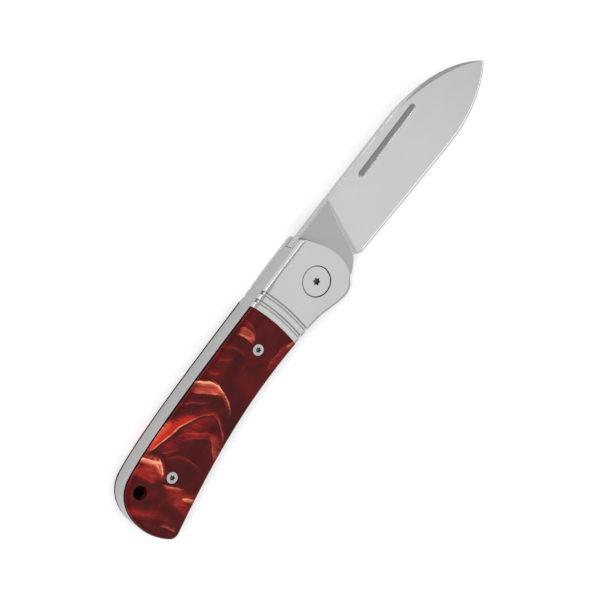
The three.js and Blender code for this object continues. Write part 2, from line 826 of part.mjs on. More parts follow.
place('blade', blade(), 'bladeSteel');
place('back_spring', backSpring(), 'springSteel');
placePair('liner', liner(), 'satinSteel');
placePair('bolster', bolster(), 'satinSteel');
placePair('scale', scale(), 'marbledResin');
placePair('pivot_washer', washer(), 'bronze');
place('pivot_barrel', pivotBarrel(), 'satinSteel');
place('pivot_screw', pivotScrew(), 'satinSteel');
const pinEnd = linerFace - pinShort;
for (const [name, at] of [['fulcrum', fulcrum], ['tail', tailPin]]) {
  const pin = rod(springPinRadius, at.x, at.y, -pinEnd, pinEnd, smallSides);
  place(`spring_${name}_pin`, pin, 'screwSteel');
}
for (const pin of bolsterPins) {
  const end = outerFace - bolsterPinCover - pinShort;
  const solid = rod(bolsterPinRadius, pin.x, pin.y, wellHalf + pinShort, end, smallSides);
  placePair(`bolster_pin_${pin.name}`, solid, 'screwSteel');
}
for (const screw of scaleScrews) {
  placePair(`scale_screw_${screw.name}`, scaleScrew(screw), 'screwSteel');
}

// Laid on its left side, with the origin under the middle of its box
const box = new THREE.Box3().setFromObject(knife);
const middle = box.getCenter(new THREE.Vector3());
knife.position.set(-middle.x, -middle.y, -box.min.z);

export default knife;
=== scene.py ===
"""Folding pocket knife, open, lying on its left side on a white table.

Lengths are millimetres from the pivot axis while the pieces are worked out: X towards the tip, Y
towards the spine, Z from the middle plane of the blade out through the right-hand side. Each mesh
is then put into the frame of the CAD model, in metres.
"""
import json
import math

import bmesh
import bpy
import numpy as np
from mathutils import Matrix, Vector


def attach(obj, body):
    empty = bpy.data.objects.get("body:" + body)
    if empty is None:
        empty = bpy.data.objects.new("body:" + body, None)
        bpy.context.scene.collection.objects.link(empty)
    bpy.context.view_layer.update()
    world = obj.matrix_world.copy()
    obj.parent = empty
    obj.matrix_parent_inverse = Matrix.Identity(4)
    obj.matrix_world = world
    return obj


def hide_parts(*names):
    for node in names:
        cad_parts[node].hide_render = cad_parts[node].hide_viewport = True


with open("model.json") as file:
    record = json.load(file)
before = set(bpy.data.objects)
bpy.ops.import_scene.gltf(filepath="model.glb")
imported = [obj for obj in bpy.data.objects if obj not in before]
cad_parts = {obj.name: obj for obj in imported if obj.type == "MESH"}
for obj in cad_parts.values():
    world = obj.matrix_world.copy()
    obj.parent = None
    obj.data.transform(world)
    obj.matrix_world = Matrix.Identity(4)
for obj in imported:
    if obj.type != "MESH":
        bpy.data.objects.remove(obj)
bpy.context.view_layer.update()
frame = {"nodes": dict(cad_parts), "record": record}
nodes = frame["nodes"]
slot_of = {part["node"]: part["material_slot"] for part in frame["record"]["subparts"]}

MM = 0.001
JOIN_WITHIN = 2e-6          # metres, for the loose triangles of a CAD piece
PIVOT = np.array([0.5, -0.08146, 5.02])

# Camera: at the photograph's viewing angle, from the spine side and above
right_of_view = Vector((0.57888, -0.69070, 0.43339))
down_of_view = Vector((-0.80192, -0.57851, 0.14915))
into_view = Vector((0.14770, -0.43389, -0.88878))
camera_data = bpy.data.cameras.new("camera")
camera = bpy.data.objects.new("camera", camera_data)
bpy.context.scene.collection.objects.link(camera)
place = Vector(PIVOT + np.array([-70.777, 189.324, 391.214])) * MM
turn = Matrix((right_of_view, -down_of_view, -into_view)).transposed()
camera.matrix_world = Matrix.Translation(place) @ turn.to_4x4()
camera_data.sensor_width = 36
camera_data.lens = 99.883
camera_data.clip_start = 0.01
camera_data.clip_end = 10
bpy.context.scene.camera = camera
bpy.context.scene.view_settings.view_transform = "Standard"

# Layers, outwards from the middle plane of the blade
BLADE_HALF = 1.5
LINER_FACE = 3.22
OUTER_FACE = 5.02
HEAD_TOP = OUTER_FACE - 0.03
ABOVE_ALL = 9               # higher than any piece, for cuts that are open above

# The handle, with the places and sizes of the CAD source
RIM = 1.4
BACK_RIM = 0.85
NOSE_RIM = 0.25
JOINT_CENTRE = np.array([-65.9, 3.67])
JOINT_RADIUS = 50.5
JOINT_GAP = 0.05
GROOVES = (52.5, 55.05)
GROOVE_WIDTH = 1.1
GROOVE_DEPTH = 0.5
PIVOT_HEAD = (4.18, 1.2)    # radius and thickness, as for the screws
PIVOT_HOLE = 2.45
PIVOT_FIT = 0.08
SCREW_HEAD = (1.6, 1.0)
SCREW_HOLE = 1.0
SCREW_FIT = 0.05
SCREWS = {"front": (-23.7, 2.05), "rear": (-63.3, 0.6)}
LANYARD = (-71.2, 5.55)
LANYARD_RADIUS = 1.9
BOLSTER_PINS = ((-8.2, 6.9), (-8.2, -4.2))
BOLSTER_PIN_RADIUS = 0.95
BOLSTER_PIN_END = OUTER_FACE - 0.8
PAINTED_SHADE_FOOT = 0.72          # how high the painted shade at the foot of the resin's wall reaches

# The blade. Its tang has three flats, which face the spring when it is open, half open and closed.
TIP = (77.5, -4.12)
DROP_START = (48, 8.75)
BELLY = (57.1, -10.77)
EDGE_HEEL = (15.4, -8.12)
STEP_PLACE = 3.1
STEP_GAP = 0.02
SPINE_AT_STEP = 10.15
FLAT_REACH = 7.4
TANG_CORNER = 8.3
TANG_BACK = -7.588
OPEN_FLAT, HALF_FLAT, CLOSED_FLAT = 90, 177, 264
PLUNGE_FOOT = 13.24
PLUNGE_SLANT = 0.322
PLUNGE_RADIUS = 3.5
LAST_ROW = 77.49
SPINE_HALF = 1.45
TAPER_START = 16.51
TIP_LOSS = 0.7
LOW_CHAMFER_HALF = 1.2
EDGE_HALF = 0.03
BEVEL_WIDTH = 0.64
BEVEL_TURN = (0.344, 0.085)     # share of the bevel's width, and half the thickness there
BEVEL_HALF = 0.4
SWEDGE_SLOPE = 0.6
NAIL_BACK = (30.9, 5.95)
NAIL_MIDDLE = (42.3, 5.625)
NAIL_LENGTH = 22.8
NAIL_FALL = 0.65
NAIL_REACH = 11.404
NAIL_HALF = 0.94
NAIL_FLOOR = 0.72


# Curves and meshes

def curve_through(stations, closed=False, pitch=0.35):
    """A smooth plane line through stations (x, y, heading there, heading after it, hold before,
    hold after). Between two stations a and d it is the cubic (1-t)^3 a + 3t(1-t)^2 b + 3t^2(1-t) c
    + t^3 d, where b and c lie along the headings at their hold's share of the way from a to d."""
    points = []
    ends = stations[1:] + stations[:1] if closed else stations[1:]
    for (ax, ay, _, leave, _, after), (dx, dy, arrive, _, before, _) in zip(stations, ends):
        a, d = np.array([ax, ay]), np.array([dx, dy])
        way = np.hypot(*(d - a))
        leave, arrive = math.radians(leave), math.radians(arrive)
        b = a + way * after * np.array([math.cos(leave), math.sin(leave)])
        c = d - way * before * np.array([math.cos(arrive), math.sin(arrive)])
        t = np.linspace(0, 1, max(14, int(way / pitch)), endpoint=False)[:, None]
        points.append((1 - t) ** 3 * a + 3 * t * (1 - t) ** 2 * b + 3 * t ** 2 * (1 - t) * c
                      + t ** 3 * d)
    if not closed:
        points.append(np.array([stations[-1][:2]]))
    return np.concatenate(points)


def station(x, y, heading, before, after):
    """A station that the line passes without a corner."""
    return (x, y, heading, heading, before, after)


HANDLE = curve_through([
    station(5.2, 10, 178.6, 0.37, 0.31),            # brow
    station(-44, 10.95, 180, 0.34, 0.38),           # crown
    station(-70, 9.75, 189, 0.235, 0.32),           # shoulder
    station(-78.5, -2.2, 270, 0.49, 0.32),          # butt
    station(-76.5, -9.502, 299, 0.32, 0.36),        # back of the heel
    station(-73.9, -10.75, 371.5, 0.33, 0.27),      # heel
    station(-31, -5.6, 360, 0.36, 0.35),            # waist
    station(-8.2, -7.05, 352, 0.28, 0.35),          # flare
    station(3.1, -9.95, 360, 0.3, 0.4),             # guard
    station(7.0, -7.7, 416, 0.33, 0.25),            # front of the guard
    station(9.25, -0.3, 450, 0.37, 0.35),           # nose
    station(6.91, 8.9075, 474.6, 0.33, 0.37),       # front of the brow
], closed=True)


def share_of(value, start, end):
    """How far a value has come from start to end, from 0 to 1."""
    return np.clip((value - start) / (end - start), 0, 1)


def smooth(t):
    """The smooth step 3 t^2 - 2 t^3."""
    return t * t * (3 - 2 * t)


def object_of(name, points, faces):
    """A new object at the origin with a mesh of these points and faces."""
    mesh = bpy.data.meshes.new(name)
    mesh.from_pydata(np.asarray(points, float).tolist(), [], faces)
    obj = bpy.data.objects.new(name, mesh)
    bpy.context.scene.collection.objects.link(obj)
    return obj


def stacked(name, rings, clockwise=False):
    """A closed body through a stack of rings, each with as many points: a face for every cell of
    their grid, whose columns close on themselves, and a flat face on each end. Seen from the far
    end of the stack the rings run counterclockwise, or clockwise where that is said."""
    count, size = rings.shape[:2]
    i, j = np.meshgrid(np.arange(count - 1), np.arange(size), indexing="ij")
    a, b = i * size + j, i * size + (j + 1) % size
    walls = np.stack([a, b, b + size, a + size], -1).reshape(-1, 4)
    ring = np.arange(size)
    ends = np.stack([ring[::-1], ring + (count - 1) * size])
    if clockwise:
        walls, ends = walls[:, ::-1], ends[:, ::-1]
    return object_of(name, rings.reshape(-1, 3), walls.tolist() + ends.tolist())


def prism(name, outline, low, high):
    """An upright wall on a closed outline between two heights, with flat ends."""
    rings = [np.column_stack([outline, np.full(len(outline), z)]) for z in (low, high)]
    return stacked(name, np.array(rings))


def circle(radius, centre, sides):
    """Points at centre + radius (cos a, sin a), a going once round."""
    a = np.linspace(0, 2 * np.pi, sides, endpoint=False)
    return np.column_stack([centre[0] + radius * np.cos(a), centre[1] + radius * np.sin(a)])


def rim_slab(name, outline, low, high, steps=12):
    """A slab on a closed outline whose upper rim is a quarter circle: at angle a up the rim the
    wall stands in along its normal by rim (1 - cos a), at height high - rim + rim sin a. The rim
    is RIM, and narrows smoothly to BACK_RIM on the bolster's back and NOSE_RIM round its nose."""
    run = np.roll(outline, -1, 0) - np.roll(outline, 1, 0)
    out = np.column_stack([run[:, 1], -run[:, 0]]) / np.linalg.norm(run, axis=1)[:, None]
    x, y = outline.T
    on_back = share_of(x, -9.5, -5.5) * (y > 0)
    on_nose = share_of(y, 9.9, 9.0) * share_of(y, -8.6, -6.0) * (x > 2)
    rim = RIM + (BACK_RIM - RIM) * smooth(on_back)
    rim = rim + (NOSE_RIM - rim) * smooth(on_nose)
    a = np.linspace(0, np.pi / 2, steps)[:, None]
    inset = np.concatenate([0 * rim[None], rim * (1 - np.cos(a))])
    height = np.concatenate([0 * rim[None] + low, high - rim + rim * np.sin(a)])
    rings = outline[None] - out[None] * inset[..., None]
    return stacked(name, np.concatenate([rings, height[..., None]], -1))


def round_tool(radius, centre, low, high, sides=96):
    """A round bar that cuts an upright hole."""
    return prism("round", circle(radius, centre, sides), low, high)


def turned(name, profile, centre, sides):
    """A body turned about an upright axis: each (radius, height) of the profile goes once round."""
    rings = [np.column_stack([circle(r, centre, sides), np.full(sides, z)]) for r, z in profile]
    return stacked(name, np.array(rings))


def cut(body, *tools, keep_inside=False):
    """The body with the tools cut away, or only what lies inside the one tool."""
    for tool in tools:
        step = body.modifiers.new("cut", "BOOLEAN")
        step.operation = "INTERSECT" if keep_inside else "DIFFERENCE"
        step.solver = "EXACT"
        step.object = tool
    result = body.evaluated_get(bpy.context.evaluated_depsgraph_get())
    mesh = bpy.data.meshes.new_from_object(result)
    body.modifiers.clear()
    body.data = mesh
    for tool in tools:
        bpy.data.objects.remove(tool)
    return body


def middles_of(body):
    """The middles of a body's faces."""
    middles = np.empty(len(body.data.polygons) * 3)
    body.data.polygons.foreach_get("center", middles)
    return middles.reshape(-1, 3)


def finished(obj, node, material=None, angle=28, left=False, weld=0.0005):
    """Put a piece in the frame, in place of a CAD node and on the body that carries it. Points that
    lie within the weld are joined, a left-hand piece is mirrored, and the shading is smooth except
    at edges that turn by more than the angle."""
    bm = bmesh.new()
    bm.from_mesh(obj.data)
    bmesh.ops.remove_doubles(bm, verts=bm.verts, dist=weld)
    bmesh.ops.dissolve_degenerate(bm, edges=bm.edges, dist=0.4 * weld)
    if left:
        bmesh.ops.scale(bm, vec=(1, 1, -1), verts=bm.verts)
        bmesh.ops.reverse_faces(bm, faces=bm.faces)
    bmesh.ops.translate(bm, vec=Vector(PIVOT), verts=bm.verts)
    bmesh.ops.scale(bm, vec=(MM, MM, MM), verts=bm.verts)
    bm.to_mesh(obj.data)
    bm.free()
    if material:
        obj.data.materials.clear()
        obj.data.materials.append(material)
    obj.data.shade_smooth()
    obj.data.set_sharp_from_angle(angle=math.radians(angle))
    even = obj.modifiers.new("even_shading", "WEIGHTED_NORMAL")
    even.keep_sharp = True
    obj.name = "finished_" + node
    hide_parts(node)
    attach(obj, body_of(node))
    return obj


def body_of(node):
    """The body that a CAD node moves with."""
    bodies = frame["record"]["behaviour"]["bodies"]
    return next(name for name, members in bodies.items() if node in members)


# Materials

class Nodes:
    """A new material with short calls for its nodes."""

    def __init__(self, name):
        self.material = bpy.data.materials.new(name)
        self.material.use_nodes = True
        self.tree = self.material.node_tree
        self.tree.nodes.clear()
        self.out = self.new("ShaderNodeOutputMaterial")
        self.coords = self.new("ShaderNodeTexCoord").outputs["Object"]

    def new(self, kind, **settings):
        node = self.tree.nodes.new(kind)
        for key, value in settings.items():
            setattr(node, key, value)
        return node

    def set(self, socket, value):
        """Link a socket to another node's output, or write a value in it."""
        if isinstance(value, bpy.types.NodeSocket):
            self.tree.links.new(value, socket)
        else:
            socket.default_value = value

    def math(self, operation, *values, clamp=False):
        node = self.new("ShaderNodeMath", operation=operation, use_clamp=clamp)
        for socket, value in zip(node.inputs, values):
            self.set(socket, value)
        return node.outputs[0]

    def ramp(self, value, low, high, to_low=0.0, to_high=1.0, smooth=True):
        """The value carried over from low and high to to_low and to_high, and no further."""
        node = self.new("ShaderNodeMapRange")
        node.interpolation_type = "SMOOTHSTEP" if smooth else "LINEAR"
        for socket, number in zip(node.inputs, (value, low, high, to_low, to_high)):
            self.set(socket, number)
        return node.outputs[0]

    def moved(self, scale=(1, 1, 1), place=(0, 0, 0), turn=(0, 0, 0), source=None):
        """Coordinates, the piece's own if no others are given: scaled, turned and shifted."""
        node = self.new("ShaderNodeMapping")
        self.set(node.inputs["Vector"], source or self.coords)
        node.inputs["Scale"].default_value = scale
        node.inputs["Location"].default_value = place
        node.inputs["Rotation"].default_value = turn
        return node.outputs[0]

    def in_mm(self):
        """The piece's own coordinates in millimetres from the pivot axis."""
        return self.moved(scale=(1000, 1000, 1000), place=tuple(-PIVOT))

    def noise(self, vector, detail=3.0, rough=0.5, twist=0.0, colour=False):
        node = self.new("ShaderNodeTexNoise")
        self.set(node.inputs["Vector"], vector)
        node.inputs["Scale"].default_value = 1.0
        node.inputs["Detail"].default_value = detail
        node.inputs["Roughness"].default_value = rough
        node.inputs["Distortion"].default_value = twist
        return node.outputs[1 if colour else 0]

    def vector(self, operation, a, b, out=0):
        node = self.new("ShaderNodeVectorMath", operation=operation)
        self.set(node.inputs[0], a)
        self.set(node.inputs[1], b)
        return node.outputs[out]

    def mix(self, share, a, b, blend="MIX"):
        node = self.new("ShaderNodeMix", data_type="RGBA", blend_type=blend)
        self.set(node.inputs[0], share)
        self.set(node.inputs[6], a)
        self.set(node.inputs[7], b)
        return node.outputs[2]

    def bump(self, height, distance, strength):
        """A surface that seems raised by the height times a distance in metres."""
        node = self.new("ShaderNodeBump")
        node.inputs["Strength"].default_value = strength
        node.inputs["Distance"].default_value = distance
        self.set(node.inputs["Height"], height)
        return node.outputs[0]

    def shader(self, **values):
        node = self.new("ShaderNodeBsdfPrincipled")
        for key, value in values.items():
            self.set(node.inputs[key.replace("_", " ")], value)
        self.tree.links.new(node.outputs[0], self.out.inputs["Surface"])
        return self.material


def grey(level):
    return (level, level, level, 1.0)


def as_shown(*colour):
    """A colour that a screen shows as this red, green and blue, of 255, in linear light."""
    return (*((np.array(colour) / 255) ** 2.2), 1)


def satin_steel(name, level, rough=0.3, hole=None):
    """Satin steel: a grey with a faint cloud, a grain drawn out along the knife and a fine dust of
    pits. The grain is also in its roughness and the dust in its bump. The wall of a drilled hole,
    given as its centre and radius, is painted near black and dull, as painted shade in the hole."""
    m = Nodes(name)
    grain = m.noise(m.moved(scale=(60, 2600, 2600)), detail=3, rough=0.6)
    dust = m.noise(m.moved(scale=(5200, 5200, 5200)), detail=2)
    cloud = m.noise(m.moved(scale=(70, 70, 70)), detail=2)
    tone = m.math("ADD", m.ramp(grain, 0.3, 0.7, 0.48, 0.52, False),
                  m.math("ADD", m.ramp(cloud, 0.3, 0.7, -0.035, 0.035, False),
                         m.ramp(dust, 0.3, 0.7, -0.02, 0.02, False)))
    colour = m.mix(tone, grey(level * 0.75), grey(level * 1.25))
    roughness = m.ramp(grain, 0.25, 0.75, rough - 0.03, rough + 0.05, False)
    # painted shade: the hole's wall is painted near black and dull
    if hole:
        centre, radius = hole
        flat = m.vector("MULTIPLY", m.in_mm(), (1, 1, 0))
        away = m.vector("DISTANCE", flat, (*centre, 0), out=1)
        open_face = m.ramp(away, radius + 0.03, radius + 0.08)
        colour = m.mix(open_face, grey(0.015), colour)
        roughness = m.math("MAXIMUM", roughness, m.math("SUBTRACT", 0.8, open_face))
    return m.shader(Base_Color=colour, Metallic=1.0, Roughness=roughness,
                    Normal=m.bump(dust, 0.000003, 0.25))


# Folds in the resin. Each has three points of an arc, walked from the first to the last; how far
# its glow reaches (to the left of the walk, or to the right where it is negative); how red and how
# milky the glow is; and how milky the thin line on the arc itself is.
FOLDS = (
    ((-62.0, 10.4), (-54.4, 8.1), (-48.6, 5.7), 3.2, 1.4, 0.0, 0.75),
    ((-62.6, 11.6), (-57.0, 11.2), (-52.2, 10.3), -1.9, 0.7, 0.5, 0.0),
    ((-61.0, 8.8), (-52.8, 6.6), (-46.6, 3.2), -5.5, 0.42, 0.0, 0.0),
    ((-49.4, 6.2), (-46.3, 4.3), (-43.9, 0.7), 2.4, 0.36, 0.0, 0.24),
    ((-49.6, 5.8), (-46.0, 2.8), (-44.3, 0.0), -3.0, 0.35, 0.0, 0.0),
    ((-40.9, 11.8), (-37.8, 7.4), (-37.7, 3.2), -3.0, 0.65, 0.36, 0.9),
    ((-39.6, 10.8), (-38.0, 8.6), (-37.4, 6.0), -1.4, 0.4, 0.8, 0.3),
    ((-37.2, 5.4), (-38.4, 2.0), (-42.2, -2.4), -1.2, 0.5, 0.25, 0.4),
    ((-42.9, 10.8), (-40.9, 6.6), (-38.8, 2.8), 2.4, 0.75, 0.4, 0.12),
    ((-63.9, 12.0), (-62.8, 8.6), (-62.1, 5.2), -1.5, 0.5, 1.3, 0.2),
    ((-61.8, 6.3), (-62.5, 4.7), (-64.2, 2.6), -1.1, 0.5, 0.9, 0.3),
    ((-61.9, 8.2), (-62.9, 6.2), (-64.0, 3.8), -1.0, 0.3, 0.45, 0.12),
    ((-62.3, 10.8), (-61.8, 6.5), (-64.4, 1.6), -5.0, 0.6, 0.13, 0.0),
    ((-69.0, 10.6), (-67.4, 7.2), (-66.4, 3.4), 6.0, 0.62, 0.05, 0.0),
    ((-61.0, 5.9), (-57.6, 1.0), (-57.7, -4.5), -1.2, 0.25, 0.03, 0.08),
    ((-54.9, 5.1), (-50.6, 0.0), (-49.7, -2.9), 2.4, 0.36, 0.0, 0.08),
    ((-54.4, 6.6), (-50.8, 3.0), (-48.6, -1.2), -1.2, 0.22, 0.02, 0.1),
    ((-60.4, 7.6), (-58.6, 5.9), (-56.6, 4.2), 0.7, 0.16, 0.02, 0.1),
    ((-49.5, -2.0), (-50.9, -4.1), (-53.9, -6.3), 2.6, 0.3, 0.2, 0.1),
    ((-44.6, 0.1), (-45.6, -2.2), (-48.3, -5.0), 1.0, 0.3, 0.12, 0.2),
    ((-65.6, 1.2), (-65.1, -1.6), (-63.8, -4.8), -1.0, 0.34, 0.3, 0.26),
    ((-65.9, 0.6), (-64.6, -4.6), (-63.4, -8.6), -4.6, 0.52, 0.04, 0.0),
    ((-69.2, -3.2), (-69.0, -6.4), (-69.6, -9.4), 4.5, 0.4, 0.04, 0.0),
    ((-65.9, -5.6), (-65.0, -7.0), (-64.8, -9.0), -1.5, 0.4, 0.9, 0.2),
    ((-75.3, -4.4), (-74.3, -7.0), (-74.1, -10.0), 1.1, 0.3, 0.26, 0.08),
    ((-77.4, 4.4), (-74.6, -1.0), (-73.0, -7.8), 3.2, 0.28, 0.02, 0.0),
    ((-77.5, 6.0), (-75.0, 3.0), (-74.6, 0.0), -3.0, 0.25, 0.0, 0.0),
    ((-23.9, 9.9), (-23.3, 7.6), (-23.4, 4.9), 2.8, 0.55, 0.45, 0.1),
    ((-21.6, 9.6), (-20.9, 7.3), (-23.2, 4.6), -1.4, 0.3, 0.3, 0.04),
    ((-19.6, 9.4), (-20.0, 7.2), (-22.4, 4.9), -1.6, 0.3, 0.02, 0.06),
    ((-26.0, -2.9), (-21.0, -3.0), (-15.8, -4.6), -3.0, 0.4, 0.04, 0.06),
    ((-18.6, -3.9), (-17.0, -4.3), (-15.6, -5.2), -1.6, 0.4, 0.4, 0.05),
    ((-46.7, 10.6), (-44.7, 7.8), (-42.2, 4.2), 0.8, 0.14, 0.0, 0.12),
    ((-36.6, 10.2), (-35.8, 8.4), (-34.8, 7.2), 1.2, 0.26, 0.03, 0.04),
    ((-32.4, 9.8), (-31.2, 8.2), (-30.0, 6.2), 1.1, 0.22, 0.03, 0.06),
    ((-28.4, 10.4), (-27.5, 8.0), (-27.2, 4.6), 1.6, 0.3, 0.03, 0.04),
)


def circle_through(a, b, c):
    """The circle through three points: its centre and radius, and whether they run
    counterclockwise on it. The points are complex numbers, so w = (c - a) / (b - a) holds the turn
    and stretch from b to c about a, and the centre is a + (b - a) (w - |w|^2) / (2i Im w)."""
    a, b, c = (complex(*point) for point in (a, b, c))
    w = (c - a) / (b - a)
    centre = a + (b - a) * (w - abs(w) ** 2) / (2j * w.imag)
    return (centre.real, centre.imag, 0), abs(a - centre), w.imag > 0


def resin():
    """Marbled resin: dark red, with glowing folds that each start at an arc and fade to one side
    of it. The arcs are swayed by noise so that none runs true."""
    m = Nodes("marbled_resin")
    place = m.in_mm()
    for size, reach in ((0.11, 2.6), (0.55, 0.55), (2.2, 0.14)):
        sway = m.noise(m.moved(scale=(size, size, size), source=place), detail=1, colour=True)
        sway = m.vector("SUBTRACT", sway, (0.5, 0.5, 0.5))
        place = m.vector("ADD", place, m.vector("MULTIPLY", sway, (reach, reach, 0)))
    flat = m.vector("MULTIPLY", place, (1, 1, 0))
    cloud = m.noise(m.moved(scale=(0.09, 0.14, 0.1), source=place), detail=2, twist=1.2)
    red, milk = 0.0, 0.0
    for a, b, c, reach, glow, haze, line in FOLDS:
        centre, radius, left_is_inside = circle_through(a, b, c)
        off = m.math("SUBTRACT", m.vector("DISTANCE", flat, centre, out=1), radius)
        outside = (reach > 0) != left_is_inside
        into = off if outside else m.math("MULTIPLY", off, -1.0)
        fade = m.ramp(into, 0.0, abs(reach), 1.0, 0.0, False)
        start = m.ramp(into, *((-0.16, 0.1) if line else (-1.0, 0.7)))
        fade = m.math("MULTIPLY", fade, start)
        thin = m.ramp(m.math("ABSOLUTE", off), 0.02, 0.3, line, 0.0)
        half = max(math.dist(a, b), math.dist(c, b))
        from_middle = m.vector("DISTANCE", flat, (*b, 0), out=1)
        near = m.ramp(from_middle, half * 0.5, half * 1.12, 1.0, 0.0)
        fade = m.math("MULTIPLY", fade, near)
        red = m.math("ADD", red, m.math("MULTIPLY", fade, glow))
        haze = m.math("MULTIPLY", m.math("POWER", fade, 1.6), haze)
        milk = m.math("ADD", milk, m.math("ADD", haze, m.math("MULTIPLY", thin, near)))
    grain = m.moved(turn=(0, 0, math.radians(68)), source=place)
    grain = m.moved(scale=(0.24, 1.7, 0.5), source=grain)
    streak = m.ramp(m.noise(grain, detail=3, twist=0.5), 0.3, 0.7, 0.56, 1.44, False)
    red = m.math("ADD", m.math("MULTIPLY", red, streak), m.ramp(cloud, 0.3, 0.75, 0.08, 0.34))
    milk = m.math("MULTIPLY", milk, streak, clamp=True)
    ramp = m.new("ShaderNodeValToRGB")
    m.set(ramp.inputs[0], red)
    stops = ((0.0, (55, 8, 8)), (0.25, (76, 9, 10)), (0.5, (108, 17, 17)), (0.78, (144, 34, 24)),
             (1.0, (184, 36, 16)))
    elements = ramp.color_ramp.elements
    for _ in stops[2:]:
        elements.new(0.5)
    for element, (at, colour) in zip(elements, stops):
        element.position = at
        element.color = as_shown(*colour)
    crimson = m.noise(m.moved(scale=(0.12, 0.12, 0.12), place=(3, 1, 0), source=place), detail=2)
    colour = m.mix(m.ramp(crimson, 0.42, 0.62), ramp.outputs[0], (0.92, 1.0, 1.6, 1), "MULTIPLY")
    cream = m.mix(milk, as_shown(208, 92, 68), as_shown(238, 158, 124))
    colour = m.mix(milk, colour, cream)
    return m.shader(Base_Color=colour, Roughness=0.2, Specular_IOR_Level=0.14)


def painted_shade_resin():
    """Painted shade at the foot of the resin's wall, where it meets the liner: nearly black, dull
    and mottled, standing in for the shade in the seam.
    """
    m = Nodes("painted_shade_resin")
    cloud = m.noise(m.moved(scale=(900, 900, 900)), detail=3)
    colour = m.mix(m.ramp(cloud, 0.35, 0.65), (0.004, 0.001, 0.001, 1), (0.012, 0.002, 0.002, 1))
    return m.shader(Base_Color=colour, Roughness=0.6, Specular_IOR_Level=0.0,
                    Normal=m.bump(cloud, 0.00001, 0.2))


ground_steel = satin_steel("ground_steel", 0.55)
spine_steel = satin_steel("spine_steel", 0.48)
ricasso_steel = satin_steel("ricasso_steel", 0.38)
# painted shade: the swedge's steel is a darker copy, standing in for the darker light that its
# slope mirrors
swedge_painted_shade_steel = satin_steel("swedge_painted_shade_steel", 0.33)
# painted shade: a dark copy of the steel for the nail groove and the lowest strip of the edge
# bevel, standing in for the shade there
painted_shade_steel = satin_steel("painted_shade_steel", 0.25, rough=0.4)
# polished steel for the edge bevel, with its grey raised as a painted highlight
edge_steel_painted_highlight = satin_steel("edge_steel_painted_highlight", 0.92, rough=0.12)
frame_steel = satin_steel("frame_steel", 0.405, hole=(LANYARD, LANYARD_RADIUS))
bolster_steel = satin_steel("bolster_steel", 0.515, rough=0.24)
head_steel = satin_steel("head_steel", 0.52, rough=0.26)
screw_steel = satin_steel("screw_steel", 0.42, rough=0.26)
# painted shade: near black steel inside the driver recesses
recess_painted_shade = satin_steel("recess_painted_shade", 0.11, rough=0.45)
bronze = satin_steel("bronze", 0.4)
marbled_resin = resin()
# painted shade for the foot of the resin's wall
painted_shade_foot = painted_shade_resin()


# Blade

